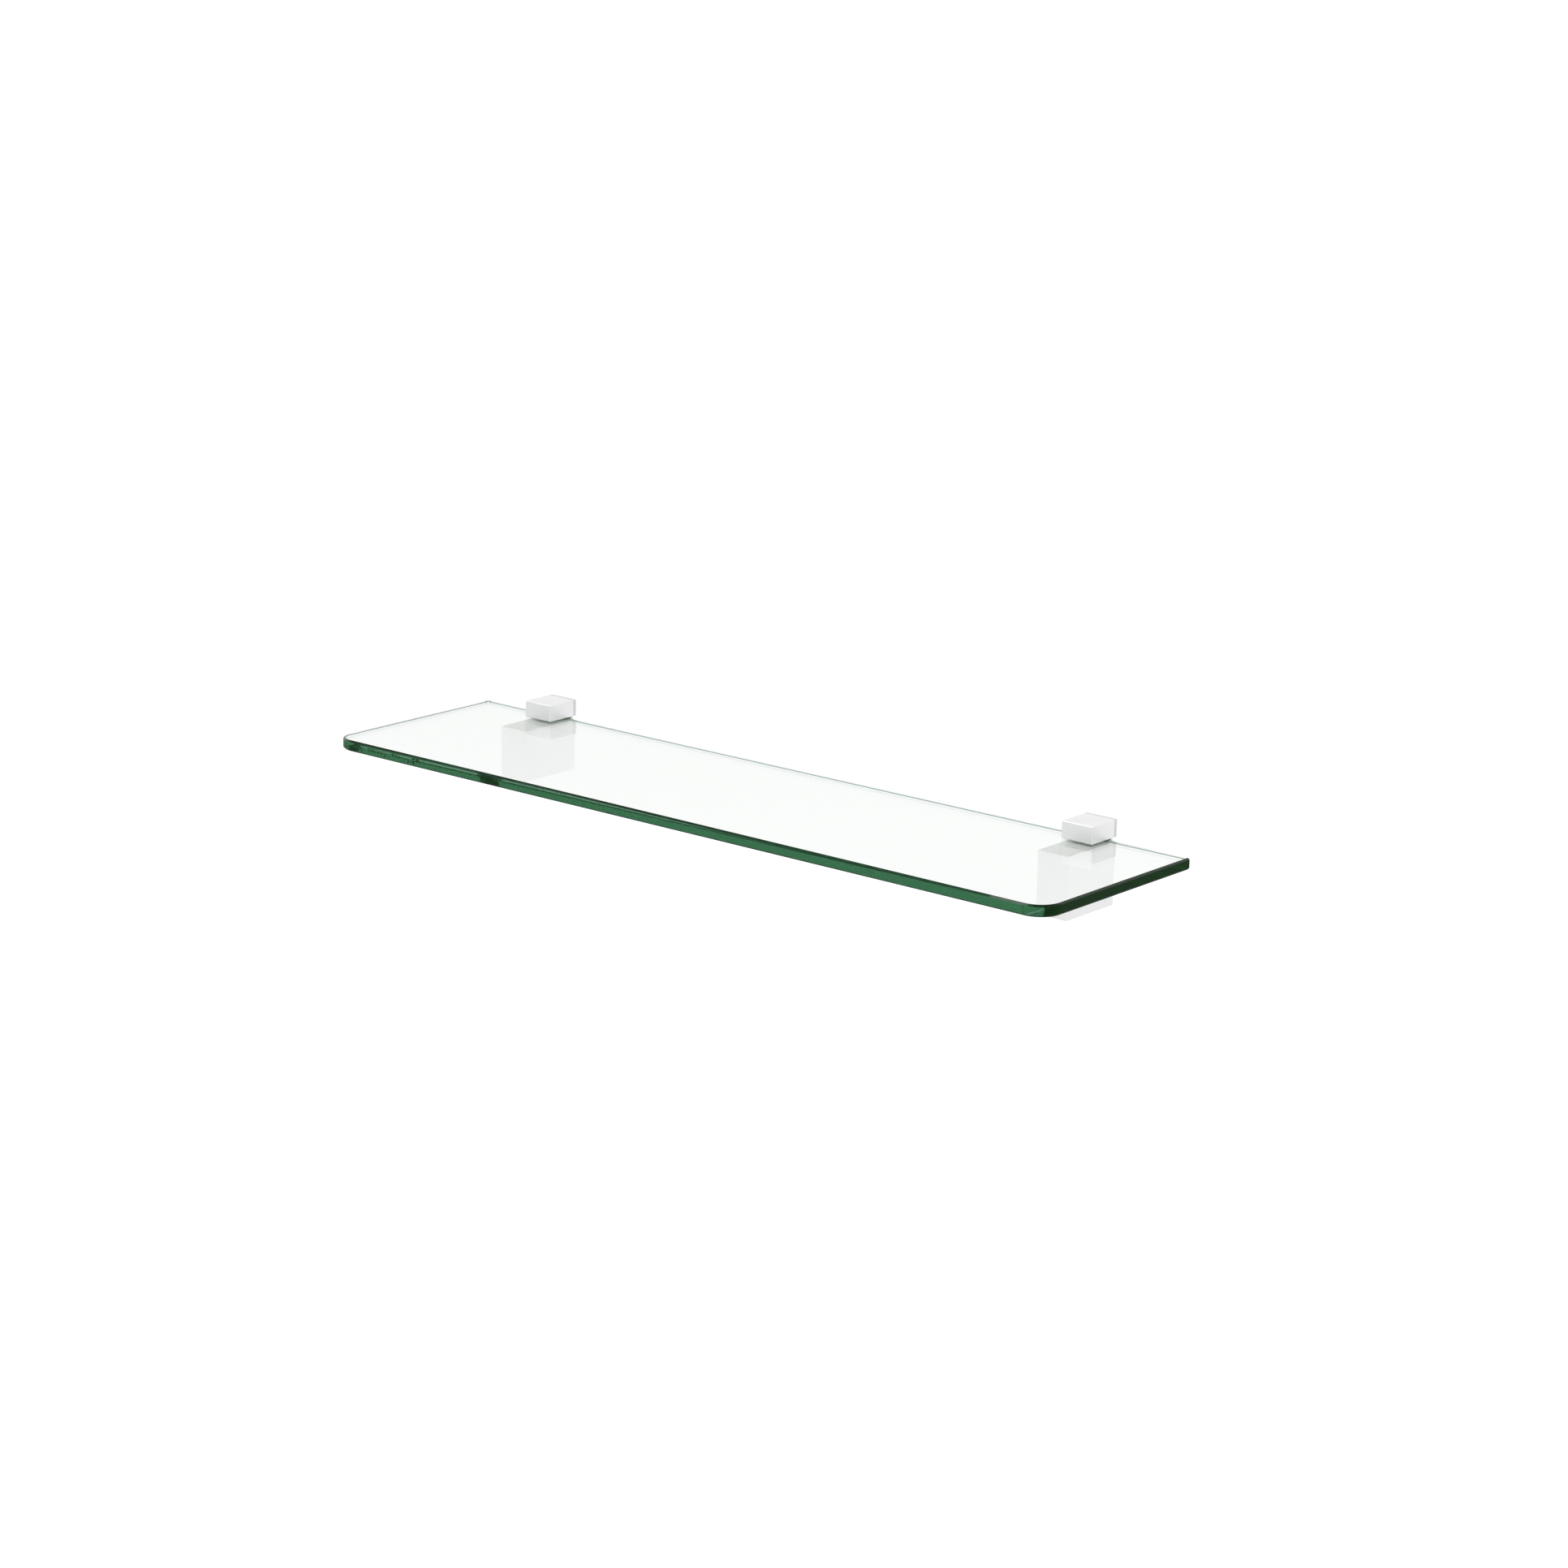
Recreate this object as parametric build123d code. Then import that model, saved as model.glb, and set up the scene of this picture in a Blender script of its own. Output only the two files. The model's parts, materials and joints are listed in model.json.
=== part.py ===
"""Glass wall shelf on two adjustable clamp brackets.

Millimetres. X runs along the shelf, +Y points into the wall and +Z is up. The origin is on the
wall's surface, in the middle of the row of four wall screw holes.
"""

import os

from build123d import *

# Glass panel
GLASS_LENGTH = 609.6
GLASS_DEPTH = 152.4
GLASS_THICK = 7.8
GLASS_OFF_CENTRE = 2.0
FRONT_CORNER_R = 16.0
BACK_CORNER_R = 1.5
GLASS_ARRIS = 1.2

# Where things stand
BRACKET_SPACING = 468.0
SHELF_Z = 24.0
STAND_OFF = 6.5

# Bracket castings
BRACKET_WIDTH = 24.0
BLOCK_FRONT_Y = -51.7
BLOCK_BACK_Y = -1.5
BLOCK_TOP = SHELF_Z - 0.2
BLOCK_BOTTOM = SHELF_Z - 36.5
EDGE_R = 0.6
SIDE_WALL = 2.5
FRONT_WALL = 3.5
ROOF = 4.0
FLOOR = 3.0
CAVITY_R = 1.0

# Upper jaw
JAW_DEPTH = 24.7
JAW_HEIGHT = 11.9
JAW_UNDERSIDE = SHELF_Z + GLASS_THICK + 0.5
JAW_TOP = JAW_UNDERSIDE + JAW_HEIGHT

# Pads
PAD_GAP = 0.05
PAD_PLAY = 0.1
LOWER_PAD_SIDE_RIM = 1.0
LOWER_PAD_FRONT_RIM = 1.3
LOWER_PAD_BACK_Y = -7.4
LOWER_PAD_SEAT = 1.0
PAD_CORNER_R = 2.0
UPPER_PAD_RIM = 2.5
UPPER_PAD_SEAT = 0.6
UPPER_PAD_BACK_RIM = 0.7

# Clamp leg, which carries the jaw on its broad head
LEG_WIDTH = 18.0
LEG_THICK = 2.2
LEG_BACK_Y = -0.3
LEG_FRONT_Y = LEG_BACK_Y - LEG_THICK
FOOT_FRONT_Y = -19.0
FOOT_BOTTOM = 10.9
FOOT_THICK = 6.0
LEG_SLIDE_PLAY = 0.3

# Countersunk M3 screw that holds the jaw on the leg's head
JAW_SCREW_Z = JAW_UNDERSIDE + JAW_HEIGHT / 2
JAW_SCREW_R = 1.5
JAW_SCREW_HEAD_R = 2.8
JAW_SCREW_LENGTH = 8.0
JAW_SCREW_KEY = 2.0
JAW_SCREW_KEY_DEPTH = 1.0

# Clamp screw, M5 x 25 with a socket head
CLAMP_Y = -13.0
CLAMP_R = 2.5
CLAMP_LENGTH = 25.0
HEAD_R = 4.25
HEAD_HEIGHT = 5.0
HEAD_RECESS = 0.5
CLAMP_KEY = 4.0
CLAMP_KEY_DEPTH = 2.6
THREAD_PLAY = 0.05
WASHER_R = 4.8
WASHER_THICK = 1.0
COUNTERBORE_R = 5.1
WEB_THICK = 2.6
WEB_HOLE_R = 2.75
CLAMP_BOSS_HALF = 6.5
RING_R = 4.5
RING_THICK = 0.8
RING_PLAY = 0.2
RING_GROOVE_R = 2.1
RING_MOUTH = 3.2

# Wall plate and the grub screw that locks the bracket on it
PLATE_WIDTH = 18.4
PLATE_THICK = 5.0
PLATE_TOP = 8.7
PLATE_BOTTOM = -6.6
HOOK_NOTCH = 2.5
HOOK_PLAY = 0.2
HOOK_TOP = 10.6
WALL_HOLE_R = 2.1
WALL_HOLE_SPACING = 9.8
COUNTERSINK_R = 3.6
GRUB_Y = -4.4
GRUB_R = 2.0
GRUB_LENGTH = 5.0
GRUB_KEY = 2.0
GRUB_KEY_DEPTH = 2.0
GRUB_BOSS_TOP = -7.1
GRUB_BOSS_HALF = 4.5

HEAD_BOTTOM = BLOCK_BOTTOM + HEAD_RECESS
HEAD_TOP = HEAD_BOTTOM + HEAD_HEIGHT
WEB_BOTTOM = HEAD_TOP + WASHER_THICK
WEB_TOP = WEB_BOTTOM + WEB_THICK
CAVITY_HALF = BRACKET_WIDTH / 2 - SIDE_WALL
CAVITY_TOP = BLOCK_TOP - ROOF
CAVITY_BOTTOM = BLOCK_BOTTOM + FLOOR
PAST = 1.0


def block_between(x_low, x_high, y_low, y_high, z_low, z_high):
    """A box given by its six faces."""
    middle = ((x_low + x_high) / 2, (y_low + y_high) / 2, (z_low + z_high) / 2)
    return Pos(*middle) * Box(x_high - x_low, y_high - y_low, z_high - z_low)


def post(radius, x, y, z_low, z_high):
    """An upright cylinder."""
    return Pos(x, y, (z_low + z_high) / 2) * Cylinder(radius, z_high - z_low)


def rod_along_y(radius, y_low, y_high, z):
    """A cylinder that points into the wall, centred on x = 0."""
    return Pos(0, (y_low + y_high) / 2, z) * Rot(90, 0, 0) * Cylinder(radius, y_high - y_low)


def slab(width, y_low, y_high, z_low, z_high, corner_r):
    """A flat pad with round corners, centred on x = 0."""
    flat = block_between(-width / 2, width / 2, y_low, y_high, z_low, z_high)
    return fillet(flat.edges().filter_by(Axis.Z), corner_r)


def hex_socket(across_flats, y, z_low, z_high):
    """The cutter for a hexagon socket."""
    outline = RegularPolygon(across_flats / 2, 6, major_radius=False)
    return Pos(0, y, z_low) * extrude(outline, z_high - z_low)


def glass_panel():
    """Clear panel: large round corners in front, small ones at the wall, ground arrises."""
    back = -STAND_OFF
    front = back - GLASS_DEPTH
    half = GLASS_LENGTH / 2
    panel = block_between(-half, half, front, back, SHELF_Z, SHELF_Z + GLASS_THICK)
    upright = panel.edges().filter_by(Axis.Z).sort_by(Axis.Y)
    panel = fillet(upright[:2], FRONT_CORNER_R)
    upright = panel.edges().filter_by(Axis.Z).sort_by(Axis.Y)
    panel = fillet(upright[-2:], BACK_CORNER_R)
    top = panel.faces().sort_by(Axis.Z)[-1]
    bottom = panel.faces().sort_by(Axis.Z)[0]
    panel = chamfer(top.edges() + bottom.edges(), GLASS_ARRIS)
    return Pos(GLASS_OFF_CENTRE, 0, 0) * panel


def lower_block():
    """Hollow casting that carries the glass: open at the back, pad seat on top."""
    half = BRACKET_WIDTH / 2
    body = block_between(-half, half, BLOCK_FRONT_Y, BLOCK_BACK_Y, BLOCK_BOTTOM, BLOCK_TOP)
    body = fillet(body.edges(), EDGE_R)
    body -= lower_block_cavity()
    web = block_between(
        -CAVITY_HALF, CAVITY_HALF, CLAMP_Y - CLAMP_BOSS_HALF, CLAMP_Y + CLAMP_BOSS_HALF, CAVITY_BOTTOM, WEB_TOP
    )
    body += web
    body += block_between(
        -GRUB_BOSS_HALF, GRUB_BOSS_HALF, CLAMP_Y + CLAMP_BOSS_HALF, BLOCK_BACK_Y - EDGE_R, CAVITY_BOTTOM, GRUB_BOSS_TOP
    )
    hook_bottom = PLATE_TOP - HOOK_NOTCH + HOOK_PLAY
    body += block_between(-CAVITY_HALF, CAVITY_HALF, -HOOK_NOTCH + HOOK_PLAY, -0.1, hook_bottom, HOOK_TOP)
    slot_half = LEG_WIDTH / 2 + LEG_SLIDE_PLAY
    slot_front = LEG_FRONT_Y - LEG_SLIDE_PLAY
    body -= block_between(-slot_half, slot_half, slot_front, PAST, CAVITY_TOP - PAST, BLOCK_TOP + PAST)
    seat_width = BRACKET_WIDTH - 2 * LOWER_PAD_SIDE_RIM
    seat_front = BLOCK_FRONT_Y + LOWER_PAD_FRONT_RIM
    body -= slab(
        seat_width, seat_front, LOWER_PAD_BACK_Y, BLOCK_TOP - LOWER_PAD_SEAT, BLOCK_TOP + PAST, PAD_CORNER_R
    )
    body -= post(COUNTERBORE_R, 0, CLAMP_Y, BLOCK_BOTTOM - PAST, WEB_BOTTOM)
    body -= post(WEB_HOLE_R, 0, CLAMP_Y, WEB_BOTTOM - PAST, WEB_TOP + PAST)
    body -= post(GRUB_R + THREAD_PLAY, 0, GRUB_Y, BLOCK_BOTTOM - PAST, GRUB_BOSS_TOP + PAST)
    return body


def lower_block_cavity():
    """The casting's hollow, cored from the wall side."""
    hollow = block_between(
        -CAVITY_HALF, CAVITY_HALF, BLOCK_FRONT_Y + FRONT_WALL, PAST, CAVITY_BOTTOM, CAVITY_TOP
    )
    return fillet(hollow.edges().filter_by(Axis.Y), CAVITY_R)


def lower_pad():
    """Soft pad that the glass lies on, let into the block's top."""
    width = BRACKET_WIDTH - 2 * LOWER_PAD_SIDE_RIM - 2 * PAD_PLAY
    front = BLOCK_FRONT_Y + LOWER_PAD_FRONT_RIM + PAD_PLAY
    back = LOWER_PAD_BACK_Y - PAD_PLAY
    return slab(width, front, back, BLOCK_TOP - LOWER_PAD_SEAT, SHELF_Z, PAD_CORNER_R - PAD_PLAY)


def upper_jaw():
    """Square block above the glass, with a pad seat underneath and a tapped hole in its back."""
    half = BRACKET_WIDTH / 2
    front = LEG_FRONT_Y - JAW_DEPTH
    body = block_between(-half, half, front, LEG_FRONT_Y, JAW_UNDERSIDE, JAW_TOP)
    body = fillet(body.edges(), EDGE_R)
    seat_width = BRACKET_WIDTH - 2 * UPPER_PAD_RIM
    seat_top = JAW_UNDERSIDE + UPPER_PAD_SEAT
    seat_back = -STAND_OFF - UPPER_PAD_BACK_RIM
    body -= slab(seat_width, front + UPPER_PAD_RIM, seat_back, JAW_UNDERSIDE - PAST, seat_top, PAD_CORNER_R)
    tapped = JAW_SCREW_LENGTH - LEG_THICK + PAST
    return body - rod_along_y(JAW_SCREW_R + THREAD_PLAY, LEG_FRONT_Y - tapped, LEG_FRONT_Y + PAST, JAW_SCREW_Z)


def upper_pad():
    """Soft pad between the jaw and the glass."""
    width = BRACKET_WIDTH - 2 * UPPER_PAD_RIM - 2 * PAD_PLAY
    front = LEG_FRONT_Y - JAW_DEPTH + UPPER_PAD_RIM + PAD_PLAY
    back = -STAND_OFF - UPPER_PAD_BACK_RIM - PAD_PLAY
    bottom = SHELF_Z + GLASS_THICK + PAD_GAP
    return slab(width, front, back, bottom, JAW_UNDERSIDE + UPPER_PAD_SEAT, PAD_CORNER_R - PAD_PLAY)


def clamp_leg():
    """Leg behind the glass: the jaw is screwed to its broad head, its tapped foot takes the clamp screw."""
    half = LEG_WIDTH / 2
    leg = block_between(-half, half, LEG_FRONT_Y, LEG_BACK_Y, FOOT_BOTTOM, JAW_UNDERSIDE + PAST)
    leg += block_between(-half, half, FOOT_FRONT_Y, LEG_BACK_Y, FOOT_BOTTOM, FOOT_BOTTOM + FOOT_THICK)
    leg = fillet(leg.edges().filter_by(Axis.Z).sort_by(Axis.Y)[:2], CAVITY_R)
    head_half = BRACKET_WIDTH / 2
    head = block_between(-head_half, head_half, LEG_FRONT_Y, LEG_BACK_Y, JAW_UNDERSIDE, JAW_TOP)
    leg += fillet(head.edges().filter_by(Axis.Y), EDGE_R)
    hole_r = CLAMP_R + THREAD_PLAY
    leg -= post(hole_r, 0, CLAMP_Y, FOOT_BOTTOM - PAST, FOOT_BOTTOM + FOOT_THICK + PAST)
    leg -= rod_along_y(JAW_SCREW_R + THREAD_PLAY, LEG_FRONT_Y - PAST, LEG_BACK_Y + PAST, JAW_SCREW_Z)
    return leg - screw_cone(THREAD_PLAY)


def screw_cone(play):
    """The jaw screw's conical head, or with play the countersink for it."""
    depth = JAW_SCREW_HEAD_R - JAW_SCREW_R
    cone = Cone(JAW_SCREW_R + play, JAW_SCREW_HEAD_R + play, depth)
    return Pos(0, LEG_BACK_Y - depth / 2, JAW_SCREW_Z) * Rot(-90, 0, 0) * cone


def jaw_screw():
    """Countersunk screw, put in from the wall side, that holds the jaw on the leg's head."""
    head_depth = JAW_SCREW_HEAD_R - JAW_SCREW_R
    tip = LEG_BACK_Y - JAW_SCREW_LENGTH
    screw = screw_cone(0) + rod_along_y(JAW_SCREW_R, tip, LEG_BACK_Y - head_depth, JAW_SCREW_Z)
    socket = extrude(RegularPolygon(JAW_SCREW_KEY / 2, 6, major_radius=False), JAW_SCREW_KEY_DEPTH + PAST)
    return screw - Pos(0, LEG_BACK_Y - JAW_SCREW_KEY_DEPTH, JAW_SCREW_Z) * Rot(-90, 0, 0) * socket


def clamp_screw():
    """Socket head screw, put in from below, with a groove for its retaining ring."""
    head = post(HEAD_R, 0, CLAMP_Y, HEAD_BOTTOM, HEAD_TOP)
    head = chamfer(head.edges().filter_by(GeomType.CIRCLE).sort_by(Axis.Z)[0], 0.5)
    shank = post(CLAMP_R, 0, CLAMP_Y, HEAD_TOP, HEAD_TOP + CLAMP_LENGTH)
    shank = chamfer(shank.edges().filter_by(GeomType.CIRCLE).sort_by(Axis.Z)[-1], 0.6)
    screw = head + shank
    groove = post(CLAMP_R + PAST, 0, CLAMP_Y, WEB_TOP + RING_PLAY, WEB_TOP + RING_PLAY + RING_THICK)
    groove -= post(RING_GROOVE_R, 0, CLAMP_Y, WEB_TOP, WEB_TOP + RING_PLAY + RING_THICK + PAST)
    screw -= groove
    return screw - hex_socket(CLAMP_KEY, CLAMP_Y, HEAD_BOTTOM - PAST, HEAD_BOTTOM + CLAMP_KEY_DEPTH)


def clamp_washer():
    """Washer under the screw head."""
    disc = post(WASHER_R, 0, CLAMP_Y, HEAD_TOP, WEB_BOTTOM)
    return disc - post(CLAMP_R + 0.1, 0, CLAMP_Y, HEAD_TOP - PAST, WEB_BOTTOM + PAST)


def retaining_ring():
    """Open ring in the screw's groove, so that undoing the screw lifts the jaw."""
    low = WEB_TOP + RING_PLAY
    ring = post(RING_R, 0, CLAMP_Y, low, low + RING_THICK)
    ring -= post(RING_GROOVE_R, 0, CLAMP_Y, low - PAST, low + RING_THICK + PAST)
    mouth = block_between(
        -RING_MOUTH / 2, RING_MOUTH / 2, CLAMP_Y - RING_R - PAST, CLAMP_Y, low - PAST, low + RING_THICK + PAST
    )
    return ring - mouth


def wall_plate():
    """Plate screwed to the wall; the bracket hooks into the notch behind its top edge."""
    half = PLATE_WIDTH / 2
    plate = block_between(-half, half, -PLATE_THICK, 0, PLATE_BOTTOM, PLATE_TOP)
    plate = chamfer(plate.edges().filter_by(Axis.Y), 0.8)
    plate -= block_between(-half - PAST, half + PAST, -HOOK_NOTCH, PAST, PLATE_TOP - HOOK_NOTCH, PLATE_TOP + PAST)
    cone = COUNTERSINK_R - WALL_HOLE_R
    for side in (-1, 1):
        x = side * WALL_HOLE_SPACING / 2
        plate -= Pos(x, 0, 0) * rod_along_y(WALL_HOLE_R, -PLATE_THICK - PAST, PAST, 0)
        sink = Pos(x, -PLATE_THICK + cone / 2, 0) * Rot(90, 0, 0)
        plate -= sink * Cone(WALL_HOLE_R, COUNTERSINK_R, cone)
    return plate


def grub_screw():
    """Headless screw in the block's floor that presses on the wall plate's bottom edge."""
    top = PLATE_BOTTOM - PAD_GAP
    screw = post(GRUB_R, 0, GRUB_Y, top - GRUB_LENGTH, top)
    screw = chamfer(screw.edges().filter_by(GeomType.CIRCLE), 0.4)
    low = top - GRUB_LENGTH
    return screw - hex_socket(GRUB_KEY, GRUB_Y, low - PAST, low + GRUB_KEY_DEPTH)


BRACKET_PIECES = {
    "wall_plate": wall_plate,
    "lower_block": lower_block,
    "lower_pad": lower_pad,
    "grub_screw": grub_screw,
    "upper_jaw": upper_jaw,
    "upper_pad": upper_pad,
    "clamp_leg": clamp_leg,
    "jaw_screw": jaw_screw,
    "clamp_screw": clamp_screw,
    "clamp_washer": clamp_washer,
    "retaining_ring": retaining_ring,
}
SIDES = {"left": -BRACKET_SPACING / 2, "right": BRACKET_SPACING / 2}

os.makedirs("parts", exist_ok=True)
export_step(glass_panel(), "parts/glass_panel.step")
for piece, make in BRACKET_PIECES.items():
    shape = make()
    for side, x in SIDES.items():
        export_step(Pos(x, 0, 0) * shape, f"parts/{side}_{piece}.step")
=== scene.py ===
"""Looks of the glass wall shelf: materials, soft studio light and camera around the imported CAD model."""

import json
import math

import bpy
from mathutils import Matrix, Vector


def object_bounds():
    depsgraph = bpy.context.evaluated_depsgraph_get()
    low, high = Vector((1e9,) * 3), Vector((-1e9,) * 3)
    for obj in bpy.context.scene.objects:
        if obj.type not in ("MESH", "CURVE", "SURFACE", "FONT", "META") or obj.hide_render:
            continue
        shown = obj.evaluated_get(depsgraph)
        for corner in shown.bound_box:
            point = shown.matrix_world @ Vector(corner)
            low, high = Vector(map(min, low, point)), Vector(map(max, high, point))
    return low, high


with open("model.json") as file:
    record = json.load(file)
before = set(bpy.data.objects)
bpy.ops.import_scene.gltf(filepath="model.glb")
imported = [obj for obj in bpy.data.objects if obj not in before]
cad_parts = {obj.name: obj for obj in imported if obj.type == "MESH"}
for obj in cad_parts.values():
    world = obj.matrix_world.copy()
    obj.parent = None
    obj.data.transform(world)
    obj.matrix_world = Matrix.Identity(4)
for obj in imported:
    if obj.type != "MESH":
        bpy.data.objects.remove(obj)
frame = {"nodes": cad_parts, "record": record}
cad_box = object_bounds()

MM = 0.001

# Camera: its bearing, elevation and roll in degrees, its distance, aim and range in metres, and its
# lens in millimetres.
AZIMUTH = 39.91
ELEVATION = 14.68
ROLL = 0.92
DISTANCE = 2.553
AIM = Vector((0.0217, -0.0612, 0.0380))
LENS = 89.24
NEAREST_SEEN = 0.05
FARTHEST_SEEN = 60.0

# Brightness of the studio: an even white backdrop, a little dimmer through the glass, and a soft white
# room that satin surfaces reflect. Polished surfaces first reflect a sharper room instead, with a dark
# floor, a horizon, a bright far wall, and a ceiling that has only a share of the wall's brightness.
BACKDROP = 1.04
BACKDROP_THROUGH_GLASS = 0.96
SOFT_ROOM_TOP = 1.00
SOFT_ROOM_BOTTOM = 0.98
DARK_FLOOR = 0.20
HORIZON = 0.70
FAR_WALL = 1.25
CEILING_SHARE = 0.25

# Where the rooms change, as the upward part of a ray's direction: -1 is straight down, 1 straight up.
SOFT_ROOM_FADE = (-0.6, 0.6)
HORIZON_FADE = (-0.05, 0.03)
FAR_WALL_FADE = (0.10, 0.27)
CEILING_FADE = (0.40, 0.70)

# The world sees a Ray Depth of 2 for a first reflection, and more for later ones.
FIRST_REFLECTION_DEPTH = 2.5

# Softboxes: where each one stands, the length of its side, both in metres, and its power in watts.
SOFTBOXES = {
    "key": (Vector((-0.9, -2.2, 2.0)), 2.4, 30),
    "fill": (Vector((2.4, -0.6, 1.4)), 1.4, 18),
}

# Floor: how far it is below the shelf, and its side, both in metres.
FLOOR_DROP = 1.7
FLOOR_SIZE = 14.0
FLOOR_COLOUR = (0.9, 0.9, 0.9)
FLOOR_ROUGHNESS = 0.6
FLOOR_GLOW = 0.3

# Glass: its absorption of red, green and blue per metre, at a volume density that is more than any of
# them, a faint green glow painted into it though it is no lamp, the tint of its ground rim, and the
# darker tint of the narrow arrises above and below the rim, which is painted shade for the dark line
# that refraction and reflection give them.
GLASS_IOR = 1.52
GLASS_ABSORPTION = (7.0, 6.2, 6.6)
GLASS_DENSITY = 26.0
GLASS_PAINTED_GLOW = (0.0, 1.0, 0.05)
GLASS_PAINTED_GLOW_STRENGTH = 0.0047
RIM_TINT = (0.128, 0.432, 0.226)
ARRIS_PAINTED_SHADE = (0.010, 0.056, 0.030)

# Which of the panel's faces count as rim or arris, by the upward part of their normals: the rim fades
# out towards the flat faces, and the arris lies between the rim and the flat faces.
RIM_FADE = (0.2, 0.9)
ARRIS_START = (0.3, 0.6)
ARRIS_END = (0.8, 0.97)

# Relief of the glass: waves per metre and their depth, how much of them the rim keeps, and the
# grinding lines that run along the rim, with their depth.
GLASS_WAVES = (9, 9, 9)
GLASS_WAVE_DEPTH = 0.02 * MM
WAVES_ON_RIM = 0.1
GRINDING_LINES = (60, 60, 5000)
GRINDING_DEPTH = 0.0006 * MM

# Metals: the colour, the colour of the edges, which are worn and brighter with a painted highlight, the
# roughness, the brush lines per metre, their depth, and the width of these edges. The legs' nickel is
# darker than the rest, as the photograph has it: painted shade, for the legs stand in shade between the
# glass and the wall.
METALS = {
    "satin_nickel": ((0.87, 0.872, 0.872), (0.92, 0.92, 0.92), 0.42, 4500, 0.002 * MM, 0.6 * MM),
    # The legs' nickel: the same nickel, darker as painted shade for the shade between the glass and the
    # wall.
    "nickel_painted_shade": ((0.72, 0.722, 0.72), (0.80, 0.80, 0.80), 0.42, 4500, 0.002 * MM, 0.4 * MM),
    "zinc_steel": ((0.60, 0.63, 0.66), (0.78, 0.79, 0.80), 0.34, 1800, 0.003 * MM, 0.3 * MM),
    "screw_steel": ((0.56, 0.555, 0.55), (0.75, 0.74, 0.73), 0.28, 3500, 0.002 * MM, 0.2 * MM),
    "spring_steel": ((0.10, 0.10, 0.11), (0.35, 0.35, 0.36), 0.35, 3000, 0.002 * MM, 0.15 * MM),
}

# Brushed metal: how many widths long a brush line is, the clouds per metre, the brush lines' share in
# the shading, how dark the dullest metal is, how far brush lines and clouds move the roughness, and
# how far a worn edge lowers it.
BRUSH_STRETCH = 60
METAL_CLOUDS = 70
BRUSH_SHARE = 0.5
DULL_SHARE = 0.94
BRUSH_ROUGHNESS = 0.05
CLOUD_ROUGHNESS = 0.03
WORN_SMOOTHNESS = 0.06

# Worn edges with a painted highlight: where the true normal and the one of a rounded edge part, as the
# cosine between them.
EDGE_FADE = (0.90, 0.999)
EDGE_SAMPLES = 6

# Pads: a matt skin with fine pebbles and some dust, both counted per metre, and the air between the
# pads and the glass, so that they don't look wetted by it.
PAD_COLOUR = (0.92, 0.92, 0.92)
PAD_DUST_COLOUR = (0.95, 0.95, 0.945)
PAD_ROUGHNESS = 0.55
PEBBLE_ROUGHNESS = 0.08
PAD_PEBBLES = 2500
PEBBLE_DEPTH = 0.02 * MM
PAD_DUST = 160
PAD_AIR_GAP = 0.03 * MM

# How much finer detail each noise has.
BRUSH_DETAIL = 3.0
CLOUD_DETAIL = 4.0
PEBBLE_DETAIL = 2.0
DUST_DETAIL = 4.0
WAVE_DETAIL = 1.0
GRINDING_DETAIL = 2.0

# The middle of a noise's range, which is spread over the whole range of a roughness or a colour.
ROUGHNESS_SPAN = (0.3, 0.7)
CLOUD_SPAN = (0.35, 0.65)
DUST_SPAN = (0.35, 0.7)

# Sockets of the Mix node, which has a set for each kind of value.
MIX_FACTOR = 0
MIX_NUMBERS = (2, 3)
MIX_NUMBER_RESULT = 0
MIX_COLOURS = (6, 7)
MIX_COLOUR_RESULT = 2

# Light paths: how often light may turn in all, and inside the panel, to come out at its far edge.
ALL_BOUNCES = 40
GLASS_BOUNCES = 32


def feed(tree, socket, value):
    """Links a socket to another node's socket, or gives it a plain value."""
    if isinstance(value, bpy.types.NodeSocket):
        tree.links.new(value, socket)
    else:
        socket.default_value = value


def feed_inputs(tree, made, **inputs):
    """Feeds a node's inputs by name, with underscores for spaces."""
    for name, value in inputs.items():
        feed(tree, made.inputs[name.replace("_", " ")], value)


def node(tree, kind, settings=None, **inputs):
    """A new node with its settings and inputs set."""
    made = tree.nodes.new(kind)
    for name, value in (settings or {}).items():
        setattr(made, name, value)
    feed_inputs(tree, made, **inputs)
    return made


def math_node(tree, operation, first, second=0.0):
    """The result of one sum on two numbers or sockets."""
    made = node(tree, "ShaderNodeMath", {"operation": operation})
    feed(tree, made.inputs[0], first)
    feed(tree, made.inputs[1], second)
    return made.outputs[0]


def ranged(tree, value, low, high, span=(0.0, 1.0)):
    """value, moved from its span to the range from low to high, and kept inside it."""
    made = node(tree, "ShaderNodeMapRange", Value=value, From_Min=span[0], From_Max=span[1],
                To_Min=low, To_Max=high)
    return made.outputs["Result"]


def chosen(tree, factor, first, second):
    """Two numbers mixed by a factor."""
    made = node(tree, "ShaderNodeMix", {"data_type": "FLOAT"})
    feed(tree, made.inputs[MIX_FACTOR], factor)
    for socket, value in zip(MIX_NUMBERS, (first, second)):
        feed(tree, made.inputs[socket], value)
    return made.outputs[MIX_NUMBER_RESULT]


def opaque(colour):
    """A colour of three numbers with its alpha."""
    return (*colour, 1)


def blended(tree, factor, first, second):
    """Two colours mixed by a factor; each is three numbers or a socket."""
    made = node(tree, "ShaderNodeMix", {"data_type": "RGBA"})
    feed(tree, made.inputs[MIX_FACTOR], factor)
    for socket, value in zip(MIX_COLOURS, (first, second)):
        feed(tree, made.inputs[socket], opaque(value) if isinstance(value, tuple) else value)
    return made.outputs[MIX_COLOUR_RESULT]


def noise(tree, where, waves, detail):
    """Noise with so many waves per metre along X, Y and Z."""
    scaled = node(tree, "ShaderNodeMapping", Vector=where, Scale=waves)
    made = node(tree, "ShaderNodeTexNoise", Vector=scaled.outputs[0], Scale=1.0, Detail=detail)
    return made.outputs["Fac"]


def even_noise(tree, where, waves, detail):
    """Noise with the same number of waves per metre every way."""
    return noise(tree, where, (waves, waves, waves), detail)


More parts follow.
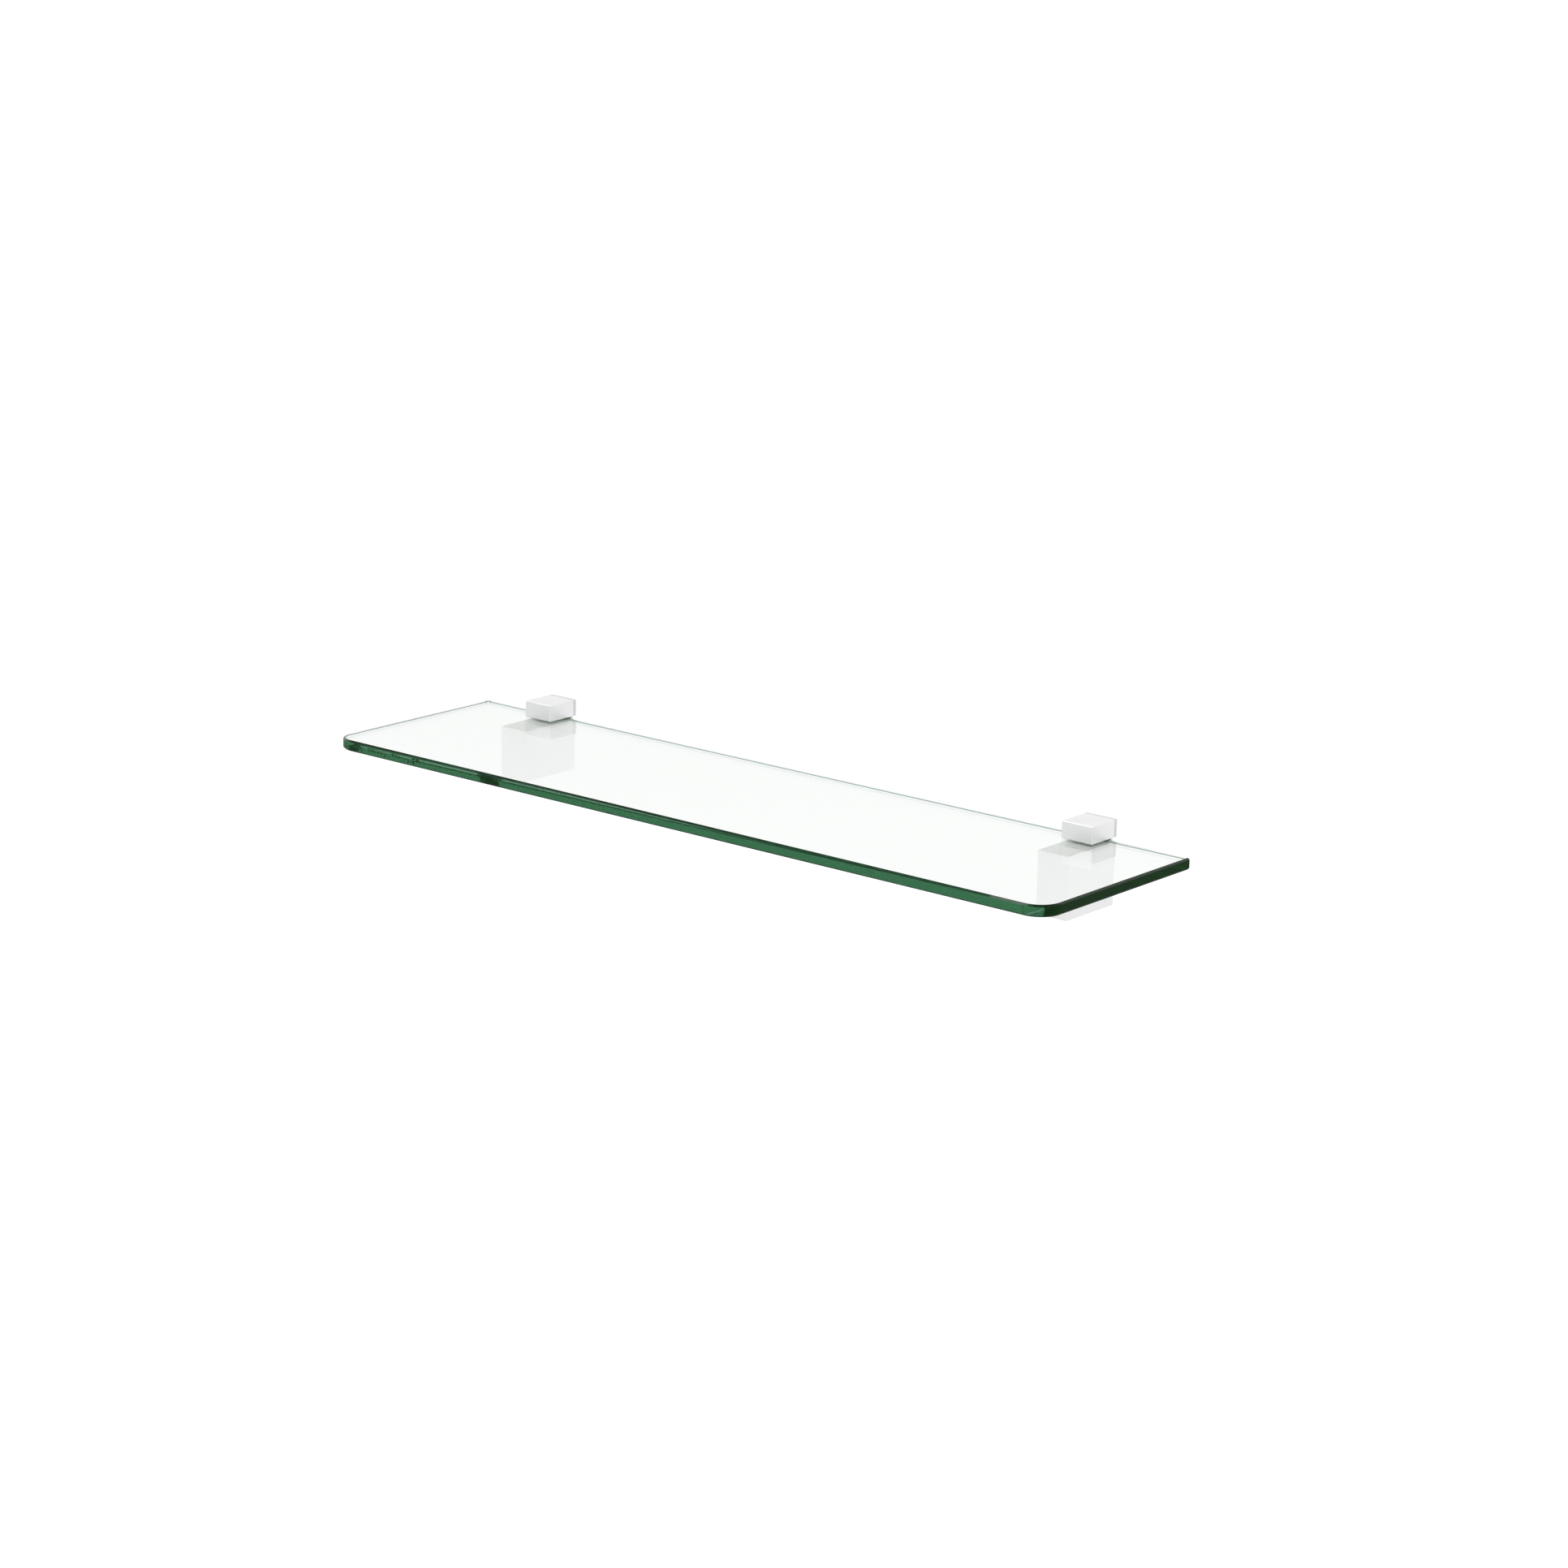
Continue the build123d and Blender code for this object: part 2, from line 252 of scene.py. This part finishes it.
def new_material(name):
    """An empty node material, with its tree, shader, output and object coordinates."""
    material = bpy.data.materials.new(name)
    material.use_nodes = True
    tree = material.node_tree
    tree.nodes.clear()
    output = node(tree, "ShaderNodeOutputMaterial")
    shader = node(tree, "ShaderNodeBsdfPrincipled")
    feed_inputs(tree, output, Surface=shader.outputs[0])
    place = node(tree, "ShaderNodeTexCoord")
    return material, tree, shader, output, place


def edge_mask(tree, radius):
    """1 on the object's edges and corners, 0 on its flats."""
    rounded = node(tree, "ShaderNodeBevel", {"samples": EDGE_SAMPLES}, Radius=radius)
    true = node(tree, "ShaderNodeNewGeometry")
    aligned = node(tree, "ShaderNodeVectorMath", {"operation": "DOT_PRODUCT"})
    feed(tree, aligned.inputs[0], rounded.outputs[0])
    feed(tree, aligned.inputs[1], true.outputs["Normal"])
    return ranged(tree, aligned.outputs["Value"], 1.0, 0.0, EDGE_FADE)


def brushed_metal(name, colour, wear_and_highlight, roughness, lines, depth, edge):
    """Metal with fine brush lines, cloudy variation, and worn, smoother edges with a painted highlight."""
    material, tree, shader, _, place = new_material(name)
    where = place.outputs["Object"]
    facing = node(tree, "ShaderNodeSeparateXYZ", Vector=place.outputs["Normal"])
    sideways = math_node(tree, "ABSOLUTE", facing.outputs["X"])
    along_x = noise(tree, where, (lines / BRUSH_STRETCH, lines, lines), BRUSH_DETAIL)
    along_y = noise(tree, where, (lines, lines / BRUSH_STRETCH, lines), BRUSH_DETAIL)
    brush = chosen(tree, sideways, along_x, along_y)
    cloud = even_noise(tree, where, METAL_CLOUDS, CLOUD_DETAIL)
    edges = edge_mask(tree, edge)
    shade = math_node(tree, "ADD", math_node(tree, "MULTIPLY", brush, BRUSH_SHARE),
                      math_node(tree, "MULTIPLY", cloud, 1 - BRUSH_SHARE))
    dull = tuple(DULL_SHARE * c for c in colour)
    flats = blended(tree, ranged(tree, shade, 0.0, 1.0, CLOUD_SPAN), dull, colour)
    brushed = ranged(tree, brush, roughness - BRUSH_ROUGHNESS, roughness + BRUSH_ROUGHNESS,
                     ROUGHNESS_SPAN)
    clouded = ranged(tree, cloud, -CLOUD_ROUGHNESS, CLOUD_ROUGHNESS, ROUGHNESS_SPAN)
    smoother = math_node(tree, "MULTIPLY", edges, WORN_SMOOTHNESS)
    rough = math_node(tree, "SUBTRACT", math_node(tree, "ADD", brushed, clouded), smoother)
    bump = node(tree, "ShaderNodeBump", Strength=1.0, Distance=depth, Height=brush)
    # The edges' brighter colour is partly wear and partly a painted highlight.
    feed_inputs(tree, shader, Base_Color=blended(tree, edges, flats, wear_and_highlight), Roughness=rough,
                Normal=bump.outputs[0], Metallic=1.0)
    return material


def soft_rubber(name):
    """Matt soft pad with a fine pebbled skin and a little dust."""
    material, tree, shader, _, place = new_material(name)
    where = place.outputs["Object"]
    pebbles = even_noise(tree, where, PAD_PEBBLES, PEBBLE_DETAIL)
    dust = even_noise(tree, where, PAD_DUST, DUST_DETAIL)
    colour = blended(tree, ranged(tree, dust, 0.0, 1.0, DUST_SPAN), PAD_COLOUR, PAD_DUST_COLOUR)
    rough = ranged(tree, pebbles, PAD_ROUGHNESS - PEBBLE_ROUGHNESS, PAD_ROUGHNESS + PEBBLE_ROUGHNESS,
                   ROUGHNESS_SPAN)
    bump = node(tree, "ShaderNodeBump", Strength=1.0, Distance=PEBBLE_DEPTH, Height=pebbles)
    feed_inputs(tree, shader, Base_Color=colour, Roughness=rough, Normal=bump.outputs[0])
    return material


def clear_glass(name):
    """Clear glass, greener at its rim, with faint waves in its faces and grinding lines along the rim."""
    material, tree, shader, output, place = new_material(name)
    where = place.outputs["Object"]
    facing = node(tree, "ShaderNodeSeparateXYZ", Vector=place.outputs["Normal"])
    upward = math_node(tree, "ABSOLUTE", facing.outputs["Z"])
    rim = ranged(tree, upward, 1.0, 0.0, RIM_FADE)
    # The arrises are tinted darker: painted shade for the dark line that refraction and reflection give
    # them.
    arris = math_node(tree, "MULTIPLY", ranged(tree, upward, 0.0, 1.0, ARRIS_START),
                      ranged(tree, upward, 1.0, 0.0, ARRIS_END))
    rim_or_clear = blended(tree, rim, (1, 1, 1), RIM_TINT)
    waves = noise(tree, where, GLASS_WAVES, WAVE_DETAIL)
    lines = noise(tree, where, GRINDING_LINES, GRINDING_DETAIL)
    wavy = node(tree, "ShaderNodeBump", Distance=GLASS_WAVE_DEPTH, Height=waves,
                Strength=ranged(tree, rim, 1.0, WAVES_ON_RIM))
    ground = node(tree, "ShaderNodeBump", Distance=GRINDING_DEPTH, Height=lines, Strength=rim,
                  Normal=wavy.outputs[0])
    # The faint green emission makes the glass glow of itself, though it is no lamp: painted light.
    feed_inputs(tree, shader, Base_Color=blended(tree, arris, rim_or_clear, ARRIS_PAINTED_SHADE),
                Normal=ground.outputs[0], Roughness=0.0, IOR=GLASS_IOR, Transmission_Weight=1.0,
                Emission_Color=opaque(GLASS_PAINTED_GLOW), Emission_Strength=GLASS_PAINTED_GLOW_STRENGTH)
    kept = tuple(1 - a / GLASS_DENSITY for a in GLASS_ABSORPTION)
    body = node(tree, "ShaderNodeVolumeAbsorption", Color=opaque(kept), Density=GLASS_DENSITY)
    feed_inputs(tree, output, Volume=body.outputs[0])
    return material


def leave_air_gap(pad):
    """Draws a pad's skin in by the air gap, so that it doesn't touch the glass."""
    skin = pad.modifiers.new("air_gap", "DISPLACE")
    skin.strength = -PAD_AIR_GAP
    skin.mid_level = 0.0


def dress_nodes():
    """Gives each CAD node the material of its record slot, and the legs the nickel darkened as painted
    shade.
    """
    made = {"clear_glass": clear_glass("clear_glass")}
    for name, look in METALS.items():
        made[name] = brushed_metal(name, *look)
    made["pad_rubber"] = soft_rubber("pad_rubber")
    for entry in frame["record"]["subparts"]:
        shown = frame["nodes"][entry["node"]]
        is_leg = entry["node"].endswith("clamp_leg")
        shown.data.materials.clear()
        # The legs get the darker nickel: painted shade.
        shown.data.materials.append(made["nickel_painted_shade" if is_leg else entry["material_slot"]])
        if entry["material_slot"] == "pad_rubber":
            leave_air_gap(shown)


def softbox(name, place, size, power):
    """A square light aimed at the shelf, which the camera doesn't see, straight or through the glass."""
    data = bpy.data.lights.new(name, "AREA")
    data.size = size
    data.energy = power
    lamp = bpy.data.objects.new(name, data)
    middle = (cad_box[0] + cad_box[1]) / 2
    lamp.location = place
    lamp.rotation_mode = "QUATERNION"
    lamp.rotation_quaternion = (middle - place).to_track_quat("-Z", "Y")
    lamp.visible_camera = False
    lamp.visible_transmission = False
    bpy.context.scene.collection.objects.link(lamp)


def studio_world():
    """The backdrop, seen straight or through the glass, and the two rooms seen in reflections."""
    world = bpy.data.worlds.new("studio")
    world.use_nodes = True
    world.cycles.sampling_method = "NONE"
    tree = world.node_tree
    tree.nodes.clear()
    where = node(tree, "ShaderNodeTexCoord")
    upward = node(tree, "ShaderNodeSeparateXYZ", Vector=where.outputs["Generated"]).outputs["Z"]
    soft_room = ranged(tree, upward, SOFT_ROOM_BOTTOM, SOFT_ROOM_TOP, SOFT_ROOM_FADE)
    to_horizon = ranged(tree, upward, DARK_FLOOR, HORIZON, HORIZON_FADE)
    to_wall = ranged(tree, upward, 0.0, FAR_WALL - HORIZON, FAR_WALL_FADE)
    to_ceiling = ranged(tree, upward, 1.0, CEILING_SHARE, CEILING_FADE)
    walls = math_node(tree, "ADD", to_horizon, to_wall)
    sharp_room = math_node(tree, "MULTIPLY", walls, to_ceiling)
    ray = node(tree, "ShaderNodeLightPath")
    first = math_node(tree, "LESS_THAN", ray.outputs["Ray Depth"], FIRST_REFLECTION_DEPTH)
    polished = math_node(tree, "MULTIPLY", ray.outputs["Is Singular Ray"], first)
    room = chosen(tree, polished, soft_room, sharp_room)
    straight = chosen(tree, ray.outputs["Is Transmission Ray"], BACKDROP, BACKDROP_THROUGH_GLASS)
    seen = chosen(tree, ray.outputs["Is Reflection Ray"], straight, room)
    light = node(tree, "ShaderNodeBackground", Color=(1, 1, 1, 1), Strength=seen)
    node(tree, "ShaderNodeOutputWorld", Surface=light.outputs[0])
    bpy.context.scene.world = world


def pale_floor():
    """A pale floor well below the shelf, bright enough to look as white as the backdrop."""
    half = FLOOR_SIZE / 2
    height = cad_box[0].z - FLOOR_DROP
    mesh = bpy.data.meshes.new("floor")
    corners = [(-half, -half, height), (half, -half, height), (half, half, height), (-half, half, height)]
    mesh.from_pydata(corners, [], [(0, 1, 2, 3)])
    floor = bpy.data.objects.new("floor", mesh)
    bpy.context.scene.collection.objects.link(floor)
    material, tree, shader, _, _ = new_material("floor_white")
    feed_inputs(tree, shader, Base_Color=opaque(FLOOR_COLOUR), Roughness=FLOOR_ROUGHNESS,
                Emission_Color=(1, 1, 1, 1), Emission_Strength=FLOOR_GLOW)
    mesh.materials.append(material)
    floor.visible_glossy = False
    floor.visible_transmission = False


def camera():
    """The camera at its viewing angle, a little rolled."""
    az, el, roll = (math.radians(v) for v in (AZIMUTH, ELEVATION, ROLL))
    back = Vector((math.sin(az) * math.cos(el), -math.cos(az) * math.cos(el), math.sin(el)))
    level = (-back).cross(Vector((0, 0, 1))).normalized()
    upright = level.cross(-back)
    right = level * math.cos(roll) + upright * math.sin(roll)
    up = upright * math.cos(roll) - level * math.sin(roll)
    data = bpy.data.cameras.new("camera")
    data.lens = LENS
    data.clip_start = NEAREST_SEEN
    data.clip_end = FARTHEST_SEEN
    made = bpy.data.objects.new("camera", data)
    turn = Matrix((right, up, back)).transposed().to_4x4()
    made.matrix_world = Matrix.Translation(AIM + back * DISTANCE) @ turn
    bpy.context.scene.collection.objects.link(made)
    bpy.context.scene.camera = made


def deep_glass_paths():
    """Lets light turn inside the panel often enough to come out at its far edge."""
    paths = bpy.context.scene.cycles
    paths.max_bounces = ALL_BOUNCES
    paths.glossy_bounces = GLASS_BOUNCES
    paths.transmission_bounces = GLASS_BOUNCES


dress_nodes()
studio_world()
pale_floor()
for name, (place, size, power) in SOFTBOXES.items():
    softbox(name, place, size, power)
camera()
deep_glass_paths()
bpy.context.scene.view_settings.view_transform = "Standard"
